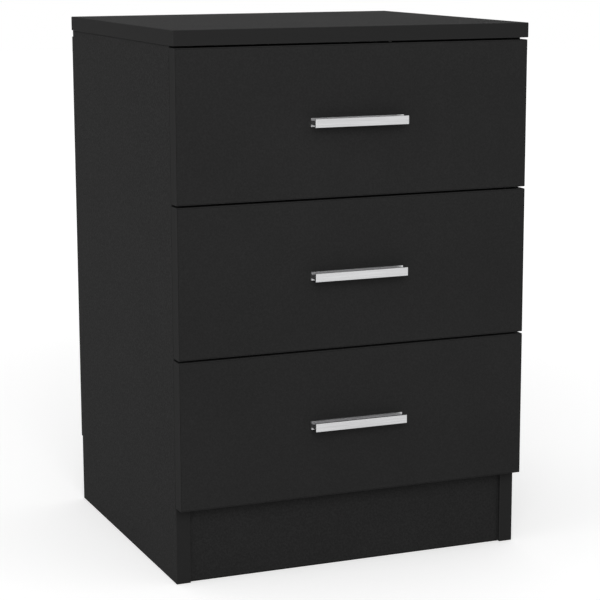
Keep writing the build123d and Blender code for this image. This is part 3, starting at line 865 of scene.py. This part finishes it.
# %% The fitting tree
fitting_tree = bpy.data.node_groups.new("set_fittings", "GeometryNodeTree")
add_sockets(fitting_tree, "INPUT", {"Geometry": "Geometry", "Fitting": "Object", "Turn": "Float",
                                    "Seed": "Int", "Finish": "Material"})
add_sockets(fitting_tree, "OUTPUT", {"Geometry": "Geometry"})
given = add(fitting_tree, "NodeGroupInput").outputs
shape = add(fitting_tree, "GeometryNodeObjectInfo", {"Object": given["Fitting"]})
axis, mouth = (add(fitting_tree, "GeometryNodeInputNamedAttribute", {"Name": name},
                   data_type="FLOAT_VECTOR") for name in ("axis", "mouth"))
upright = add(fitting_tree, "FunctionNodeAxesToRotation", {
    "Primary Axis": axis, "Secondary Axis": mouth}, primary_axis="Z", secondary_axis="X")
turn_back = add(fitting_tree, "Math", {0: given["Turn"], 1: -1.0}, operation="MULTIPLY")
angle = add(fitting_tree, "FunctionNodeRandomValue", {
    "Min": turn_back, "Max": given["Turn"], "Seed": given["Seed"]}, data_type="FLOAT")
turn = add(fitting_tree, "FunctionNodeAxisAngleToRotation", {"Axis": UPWARD, "Angle": angle})
facing = add(fitting_tree, "FunctionNodeRotateRotation", {"Rotation": upright, "Rotate By": turn},
             rotation_space="LOCAL")
copies = add(fitting_tree, "GeometryNodeInstanceOnPoints", {
    "Points": given["Geometry"], "Instance": shape.outputs["Geometry"], "Rotation": facing})
real = add(fitting_tree, "GeometryNodeRealizeInstances", {"Geometry": copies})
finished = add(fitting_tree, "GeometryNodeSetMaterial", {
    "Geometry": real, "Material": given["Finish"]})
add(fitting_tree, "NodeGroupOutput", {"Geometry": finished})
print("fitting tree:", len(fitting_tree.nodes), "nodes")

# %% [markdown]
# The tree runs as a modifier on a mesh of bare points. Its result becomes a plain mesh, because
# only real faces can ride on a body. Then the piece is told what it rides on and which CAD nodes
# it stands for, and those are hidden.

# %% Running the tree
SEED = 7
SHARP_FROM = 32                # degrees between two faces that shade as an edge


def socket_id(tree, name):
    """The identifier of a tree's input, which a modifier needs instead of its name."""
    return next(item.identifier for item in tree.interface.items_tree
                if item.in_out == "INPUT" and item.name == name)


def smooth_by_angle(piece, degrees=SHARP_FROM):
    for face in piece.data.polygons:
        face.use_smooth = True
    piece.data.set_sharp_from_angle(angle=math.radians(degrees))
    return piece


def set_fittings(name, places, prototype, finish, turn=math.pi):
    """One copy of the prototype at each (point, +Z direction, +X direction). Uses it up."""
    points = bpy.data.meshes.new(f"{name}_points")
    points.from_pydata([tuple(place[0]) for place in places], [], [])
    for index, label in ((1, "axis"), (2, "mouth")):
        layer = points.attributes.new(label, "FLOAT_VECTOR", "POINT")
        for item, place in zip(layer.data, places):
            item.vector = place[index]
    piece = in_scene(name, points)
    modifier = piece.modifiers.new("set_fittings", "NODES")
    modifier.node_group = fitting_tree
    for label, value in {"Fitting": prototype, "Turn": turn, "Seed": SEED,
                         "Finish": finish}.items():
        modifier[socket_id(fitting_tree, label)] = value
    make_real(piece)
    discard(prototype)
    return smooth_by_angle(piece)


def mount(piece, body, slot, *nodes):
    """The piece rides on a body and stands for CAD nodes, which it hides. Its slot is not used."""
    if nodes:
        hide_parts(*nodes)
    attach(piece, body)


nails = set_fittings("wire_nails", nail_places, nail_prototype(nail_length), zinc_plate)
mount(nails, "carcass", "zinc_steel", "back_panel_nails")
print("nails set:", len(nail_places), "of", round(nail_length, 1), "mm")

# %% [markdown]
# ## Screws
# Runner screws have a low pan head so that the drawer runner clears them. The screws of a drawer
# box come in two lengths: long ones through the sides into the back, short ones up through the
# runner. The handle screws are machine screws with a finer thread.

# %% Set the screws
BOARD_SCREW = {"head": 6.5, "head_height": 1.4, "diameter": 3.5, "pitch": 1.4}
HANDLE_SCREW = {"head": 6.4, "head_height": 2.2, "diameter": 3.0, "pitch": 0.6}
LEVEL_AXES, UPRIGHT_AXES = (0, 1), (2,)


def screws_at(name, node, make, axes=(0, 1, 2)):
    """Screws of one length where the node has them along these axes."""
    places, length = headed_places(node, make["head_height"], axes)
    return set_fittings(name, places, screw_prototype(length=length, **make), zinc_plate), places


def joined(name, pieces):
    """One object from several with the same finish."""
    mesh = bmesh.new()
    for piece in pieces:
        mesh.from_mesh(piece.data)
    data = pieces[0].data.copy()
    mesh.to_mesh(data)
    mesh.free()
    discard(*pieces)
    return in_scene(name, data)


piece, places = screws_at("runner_screws", "cabinet_runner_screws", BOARD_SCREW)
mount(piece, "carcass", "zinc_steel", "cabinet_runner_screws")
count = len(places)
for level in LEVELS:
    node = f"{level}_drawer_screws"
    kinds = []
    for axes in (LEVEL_AXES, UPRIGHT_AXES):
        piece, places = screws_at(f"{node}_kind", node, BOARD_SCREW, axes)
        kinds.append(piece)
        count += len(places)
    mount(joined(f"{level}_box_screws", kinds), f"{level}_drawer", "zinc_steel", node)
    node = f"{level}_handle_screws"
    piece, places = screws_at(f"{level}_grip_screws", node, HANDLE_SCREW)
    mount(piece, f"{level}_drawer", "zinc_steel", node)
    count += len(places)
print("screws set:", count)

# %% [markdown]
# ## Cam joints
# A cam's place and the way it looks follow from its bolt: the bolt lies a little deeper than the
# middle of the drum, so the drum's middle lies towards its open face, and the joint is on the side
# where the bolt comes from.

# %% Set the cams and bolts
CARCASS_BOLT = {"shank": 5.0, "thread": 6.0}
BOX_BOLT = {"shank": 4.0, "thread": 5.0}
THREAD_LENGTH = 9.0
BOLT_ROOM = 0.6                # the cam's mouth is wider than the bolt by this
BOARD, BOX_BOARD = 15.0, 12.0  # the bolt runs in the middle of its board


def toward(vector, axis):
    """The unit vector along one axis, with the sign of the given vector."""
    return AXES[axis] if vector[axis] > 0 else -AXES[axis]


def set_cam_joints(prefix, cam_node, bolt_node, body, shank, thread, thickness):
    cams, bolts = solids_of(cam_node), solids_of(bolt_node)
    cam_places, bolt_places = [], []
    for cam in cams:
        bolt = min(bolts, key=lambda other: (other.centre - cam.centre).length)
        run, axis = bolt.long_axis, cam.odd_axis()
        face = toward(cam.centre - bolt.centre, axis)
        mouth = toward(bolt.centre - cam.centre, run)
        cam_places.append((cam.centre + face * cam.size[axis] / 2, face, mouth))
        tip = bolt.centre + mouth * bolt.size[run] / 2
        bolt_places.append((tip - mouth * THREAD_LENGTH * MM, -mouth, face))
    drum, depth = cams[0].size[run] / MM, cams[0].size[axis] / MM
    reach = max(bolts[0].size) / MM - THREAD_LENGTH
    cam = cam_prototype(drum, depth, shank + BOLT_ROOM, thickness / 2)
    mount(set_fittings(f"{prefix}_cams", cam_places, cam, cast_zinc, turn=0.0), body, "zinc_cam",
          cam_node)
    bolt = bolt_prototype(shank, reach, thread, THREAD_LENGTH)
    mount(set_fittings(f"{prefix}_bolts", bolt_places, bolt, zinc_plate), body, "zinc_steel",
          bolt_node)
    return len(cams)


count = set_cam_joints("carcass", "carcass_cam_locks", "carcass_cam_bolts", "carcass",
                       thickness=BOARD, **CARCASS_BOLT)
for level in LEVELS:
    drawer = f"{level}_drawer"
    count += set_cam_joints(f"{level}_box", f"{drawer}_cam_locks", f"{drawer}_cam_bolts", drawer,
                            thickness=BOX_BOARD, **BOX_BOLT)
print("cam joints:", count)

# %% [markdown]
# Dowels sit beside the cams. They carry the load across the joint, and the cams only pull it
# tight.

# %% Set the dowels
DOWEL = 8.0

dowels = solids_of("carcass_wood_dowels")
places = [(dowel.centre, AXES[dowel.long_axis], AXES[(dowel.long_axis + 1) % 3])
          for dowel in dowels]
prototype = dowel_prototype(DOWEL, max(dowels[0].size) / MM)
mount(set_fittings("fluted_dowels", places, prototype, beech), "carcass", "beech_dowel",
      "carcass_wood_dowels")
print("dowels:", len(dowels))

# %% [markdown]
# ## Rollers and their pins
# A runner's roller is a moulded nylon wheel. Its outer face has a recessed ring between the rim
# and the hub, which saves material and keeps the moulding flat.

# %% Roller
WHEEL, BORE, HUB = 8.0, 2.05, 4.0          # radii in millimetres
RECESS = 0.9                   # depth of the ring between rim and hub


def roller_prototype(width):
    """Z = 0 is the plain face next to the runner, the recessed face is on top."""
    return lathe("roller_prototype", [
        (BORE, 0.2), (BORE + 0.2, 0), (WHEEL - 0.6, 0), (WHEEL - 0.18, 0.18), (WHEEL, 0.6),
        (WHEEL, width - 0.6), (WHEEL - 0.18, width - 0.18), (WHEEL - 0.6, width),
        (WHEEL - 1.3, width), (WHEEL - 1.5, width - 0.15), (WHEEL - 1.7, width - RECESS),
        (HUB, width - RECESS), (HUB - 0.2, width - 0.15), (HUB - 0.4, width),
        (BORE + 0.2, width), (BORE, width - 0.2)], 48, bored=True)


print("roller:", 2 * WHEEL, "mm across on a bore of", 2 * BORE, "mm")

# %% [markdown]
# A roller turns on a pin that is riveted into the runner, so wheel and pin are separate pieces.
# The wheel rides on a body that turns, and the pin rides with the runner.

# %% Set the rollers and pins
PIN_GAP = 0.2                  # pin head to roller
DRAWER_PIN_LENGTH = 7.3        # plate, gap, roller and the gap under the head


def set_rollers(level, kind, outward):
    """Rollers whose recessed face looks away from (+1) or towards (-1) the middle."""
    node = f"{level}_{kind}_rollers"
    wheels = solids_of(node)
    places = []
    for wheel in wheels:
        face = toward(wheel.centre * outward, 0)
        places.append((wheel.centre - face * wheel.size.x / 2, face, UPWARD))
    width = wheels[-1].size.x / MM
    mount(set_fittings(f"{level}_{kind}_wheels", places, roller_prototype(width), nylon), node,
          "roller_nylon", node)
    return [(point + face * (width + PIN_GAP) * MM, face, side) for point, face, side in places]


for level in LEVELS:
    set_rollers(level, "cabinet", -1)
    seats = set_rollers(level, "drawer", 1)
    mount(set_fittings(f"{level}_drawer_pins", seats, pin_prototype(DRAWER_PIN_LENGTH),
                       zinc_plate), f"{level}_drawer", "zinc_steel")
places, length = headed_places("cabinet_roller_pins", PIN_HEAD_HEIGHT)
mount(set_fittings("cabinet_pins", places, pin_prototype(length), zinc_plate), "carcass",
      "zinc_steel", "cabinet_roller_pins")
print("rollers:", 4 * len(LEVELS), "pins:", len(places) + len(LEVELS) * len(seats))

# %% [markdown]
# ## Rolled runners
# Runners are strip steel bent on rollers, so their corners are arcs and never sharp. The strip's
# centre line is given as a few corners, each corner is rounded with the bend radius, and the line
# is thickened to both sides. That outline is swept along the runner's length.

# %% Strip profile and sweep
STRIP = 1.0                    # thickness in millimetres
BEND = 0.95                    # radius of the strip's centre line in a bend
BEND_STEPS = 6


def strip_outline(corners):
    """Closed outline of a bent strip, in millimetres, from the corners of its centre line."""
    corners = [Vector(corner) for corner in corners]
    line = [(corners[0], (corners[1] - corners[0]).normalized())]
    for before, corner, after in zip(corners, corners[1:], corners[2:]):
        way_in, way_out = (corner - before).normalized(), (after - corner).normalized()
        turn = way_in.angle_signed(way_out)
        start = corner - way_in * BEND * math.tan(abs(turn) / 2)
        side = Vector((way_in.y, -way_in.x)) * (1 if turn > 0 else -1)
        hub = start + side * BEND
        for step in range(BEND_STEPS + 1):
            turned = Matrix.Rotation(-turn * step / BEND_STEPS, 2)
            line.append((hub + turned @ (start - hub), turned @ way_in))
    line.append((corners[-1], (corners[-1] - corners[-2]).normalized()))
    left, right = ([point + Vector((-way.y, way.x)) * half for point, way in line]
                   for half in (STRIP / 2, -STRIP / 2))
    return left + right[::-1]


def sweep_along_y(name, outline, y_start, y_end):
    """The outline (x, z), in millimetres, swept between two Y places in metres."""
    return skinned(name, [[(point.x * MM, y, point.y * MM) for point in outline]
                          for y in (y_start, y_end)])


print("strip outline of a right angle:", len(strip_outline([(0, 0), (5, 0), (5, 5)])), "points")

# %% [markdown]
# Then the tools of the factory follow: a punch makes the oblong holes, and shears nip the corners
# off the free edges. Both are cutters here.

# %% Punch and shears
SLOT_LENGTH, SLOT_WIDTH = 11.0 * MM, 4.2 * MM
PUNCH_DEPTH = 6.0 * MM         # well through the strip
ROUND_STEPS = 8                # of half a turn at each end of a slot
NIP = 3.5                      # how much of a corner the shears take off, in millimetres
OVERSHOOT = 1.0                # how far a cutter stands out of the strip


def slot_cutter(centre):
    """A slot cutter through X, long in Y, with round ends."""
    outline = []
    for end in (1, -1):
        for step in range(ROUND_STEPS + 1):
            angle = math.pi * step / ROUND_STEPS - math.pi / 2
            across = (SLOT_LENGTH - SLOT_WIDTH) / 2 + math.cos(angle) * SLOT_WIDTH / 2
            outline.append((end * across, end * math.sin(angle) * SLOT_WIDTH / 2))
    return skinned("slot_cutter", [[(centre.x + x, centre.y + y, centre.z + z)
                                    for y, z in outline]
                                   for x in (-PUNCH_DEPTH / 2, PUNCH_DEPTH / 2)])


def corner_cutters(edge, inward, low, high):
    """Prisms that nip both corners of the free long edge at x = edge, in millimetres."""
    cutters = []
    for end, along in ((low.y / MM, 1), (high.y / MM, -1)):
        triangle = [((edge + inward * x) * MM, (end + along * y) * MM)
                    for x, y in ((-OVERSHOOT, -OVERSHOOT), (NIP + OVERSHOOT, -OVERSHOOT),
                                 (-OVERSHOOT, NIP + OVERSHOOT))]
        cutters.append(skinned("corner_cutter", [[(x, y, z) for x, y in triangle]
                                                 for z in (low.z - MM, high.z + MM)]))
    return cutters


print("slots of", round(SLOT_LENGTH / MM), "by", round(SLOT_WIDTH / MM, 1), "mm")

# %% [markdown]
# Cabinet and drawer runner differ only in outline, holes and free edges, so one function rolls,
# punches, nips and coats both. Powder coat covers the cuts as well.

# %% Finish a runner
BEND_SHARP_FROM = 24           # degrees; the steps of a bend stay below it


def finish_runner(name, outline, box, plate, middle, shares, free_edges):
    """Sweeps a strip through its box, punches slots in its plate at shares of its length, nips
    the corners of its free edges and coats it."""
    low, high = box
    piece = sweep_along_y(name, outline, low.y, high.y)
    cutters = [slot_cutter(Vector((plate * MM, low.y + share * (high.y - low.y), middle)))
               for share in shares]
    for edge in free_edges:
        inward = 1 if edge * MM < (low.x + high.x) / 2 else -1
        cutters += corner_cutters(edge, inward, low, high)
    carve(piece, cutters)
    piece.data.materials.clear()
    piece.data.materials.append(powder_coat)
    return smooth_by_angle(piece, BEND_SHARP_FROM)


print("one step of a right-angled bend:", 90 / BEND_STEPS, "degrees")

# %% [markdown]
# The cabinet runner is a channel, open towards the drawer. The drawer runner is a lip under the
# box side, a plate beside it and a flange that rides on the cabinet roller.

# %% Build the runners
RIDE = 0.05                    # the flange's clearance over the roller
CABINET_SLOTS = (0.29, 0.5, 0.71)
DRAWER_SLOTS = (0.24, 0.5, 0.76)


def cabinet_runner(level, side):
    node = f"{level}_cabinet_{side}_runner"
    low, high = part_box(node)
    sign = SIDES[side]
    lip, outer = (low.x, high.x) if sign > 0 else (high.x, low.x)
    lip, wall = lip / MM, outer / MM - sign * STRIP / 2
    bottom, top = low.z / MM + STRIP / 2, high.z / MM - STRIP / 2
    outline = strip_outline([(lip, bottom), (wall, bottom), (wall, top), (lip, top)])
    piece = finish_runner(f"{level}_{side}_channel", outline, (low, high), wall,
                          (low.z + high.z) / 2, CABINET_SLOTS, [lip])
    mount(piece, "carcass", "runner_steel", node)


def drawer_runner(level, side):
    node = f"{level}_drawer_{side}_runner"
    low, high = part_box(node)
    box_low, box_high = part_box(f"{level}_drawer_{side}_side")
    sign = SIDES[side]
    inner, outer = (low.x / MM, high.x / MM) if sign > 0 else (high.x / MM, low.x / MM)
    plate = (box_high.x if sign > 0 else box_low.x) / MM + sign * STRIP / 2
    bottom = box_low.z / MM - STRIP / 2
    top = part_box(f"{level}_cabinet_rollers")[1].z / MM + RIDE + STRIP / 2
    outline = strip_outline([(inner, bottom), (plate, bottom), (plate, top), (outer, top)])
    piece = finish_runner(f"{level}_{side}_angle", outline, (low, high), plate,
                          (bottom + top) / 2 * MM, DRAWER_SLOTS, [inner, outer])
    mount(piece, f"{level}_drawer", "runner_steel", node)


for level in LEVELS:
    for side in SIDES:
        cabinet_runner(level, side)
        drawer_runner(level, side)
print("runners:", 4 * len(LEVELS))

# %% [markdown]
# ## Backdrop and floor
# The set is a plain pale floor under large soft lamps, as for a catalogue. The world is white to
# the camera and to reflections, and lights the object evenly.

# %% World
WORLD_LIGHT = 0.57
WHITE = (1, 1, 1, 1)


def seen_directly(tree):
    """1 for camera, mirror and glass rays, 0 for the light that falls on surfaces."""
    path = add(tree, "LightPath").outputs
    glossy = add(tree, "Math", {0: path["Is Camera Ray"], 1: path["Is Glossy Ray"]},
                 operation="MAXIMUM")
    return add(tree, "Math", {0: glossy, 1: path["Is Transmission Ray"]}, operation="MAXIMUM")


world = bpy.data.worlds.new("studio")
tree = own_tree(world)
light = add(tree, "Background", {"Color": WHITE, "Strength": WORLD_LIGHT})
white = add(tree, "Background", {"Color": WHITE, "Strength": 1.0})
mixed = add(tree, "MixShader", {0: seen_directly(tree), 1: light, 2: white})
add(tree, "OutputWorld", {"Surface": mixed})
bpy.context.scene.world = world
print("world light:", WORLD_LIGHT)

# %% [markdown]
# The floor is matt paper. It adds a little of its own light to what the camera sees, more of it
# further out, so it stays white round the object, meets the backdrop without a line and keeps the
# soft shadow.

# %% Floor
FLOOR_RADIUS = 9.0             # in metres, as are the next two
GLOW_FROM, GLOW_TO = 0.45, 2.2
NEAR_GLOW, FAR_GLOW = 0.42, 0.64
BELOW_FEET = 0.2 * MM          # so that floor and feet never share a plane
PAPER = (0.8, 0.8, 0.8, 1)

mesh = bmesh.new()
bmesh.ops.create_circle(mesh, cap_ends=True, radius=FLOOR_RADIUS, segments=96)
floor = object_from(mesh, "studio_floor")
for vert in floor.data.vertices:
    vert.co.z = -BELOW_FEET
material, tree = new_material("studio_floor")
where = add(tree, "TexCoord").outputs["Object"]
distance = add(tree, "VectorMath", {0: where}, operation="LENGTH")
fading = add(tree, "MapRange", {"Value": distance, "From Min": GLOW_FROM, "From Max": GLOW_TO,
                                "To Min": NEAR_GLOW, "To Max": FAR_GLOW},
             interpolation_type="SMOOTHSTEP")
strength = add(tree, "Math", {0: seen_directly(tree), 1: fading}, operation="MULTIPLY")
paper = add(tree, "BsdfDiffuse", {"Color": PAPER})
glow = add(tree, "Emission", {"Color": WHITE, "Strength": strength})
both = add(tree, "AddShader", {0: paper, 1: glow})
add(tree, "OutputMaterial", {"Surface": both})
floor.data.materials.append(material)
bpy.context.scene.view_settings.view_transform = "Standard"
print("floor radius:", FLOOR_RADIUS, "m")

# %% [markdown]
# ## Lamps
# A large key lamp stands in front and a little to the left, a weaker fill stands far out on the
# left, and a faint lamp hangs over the top. Their sizes keep the shadows soft, and their powers
# bring a dark board to about its own value.

# %% Lamps
LIT_POINT = Vector((0.0, 0.0, 0.28))
LAMPS = {"key_light": ((-0.7, -2.5, 1.4), 1.8, 36),       # place in metres, width, power in watts
         "fill_light": ((-2.6, -0.4, 0.6), 1.6, 10),
         "top_light": ((0.0, 0.3, 3.0), 2.0, 3.5)}

for name, (place, width, power) in LAMPS.items():
    data = bpy.data.lights.new(name, "AREA")
    data.shape = "DISK"
    data.size = width
    data.energy = power
    lamp = in_scene(name, data)
    lamp.location = place
    lamp.rotation_euler = (LIT_POINT - Vector(place)).to_track_quat("-Z", "Y").to_euler()
print("lamps:", len(LAMPS))

# %% [markdown]
# ## Camera
# A long lens from the left and a little above keeps the verticals nearly parallel. The camera's
# three axes are worked out from two angles and a small roll, so nothing depends on Euler order.

# %% Camera
AIM = Vector((6.77, -2.32, 249.0)) * MM
AZIMUTH, ELEVATION, ROLL = (math.radians(angle) for angle in (22.341, 10.633, -0.166))
DISTANCE = 2106.1 * MM
LENS, SENSOR = 116.64, 36.0    # in millimetres
FARTHEST = 50.0                # in metres

away = Vector((-math.sin(AZIMUTH) * math.cos(ELEVATION),
               -math.cos(AZIMUTH) * math.cos(ELEVATION), math.sin(ELEVATION)))
across = (-away).cross(UPWARD).normalized()
upright = across.cross(-away)
camera_x = across * math.cos(ROLL) + upright * math.sin(ROLL)
camera_y = upright * math.cos(ROLL) - across * math.sin(ROLL)
turn = Matrix((camera_x, camera_y, away)).transposed().to_4x4()

data = bpy.data.cameras.new("camera")
data.lens = LENS
data.sensor_width = SENSOR
data.clip_end = FARTHEST
camera = in_scene("camera", data)
camera.matrix_world = Matrix.Translation(AIM + away * DISTANCE) @ turn
bpy.context.scene.camera = camera
print("camera at", [round(value, 3) for value in camera.matrix_world.translation])

bpy.context.view_layer.update()
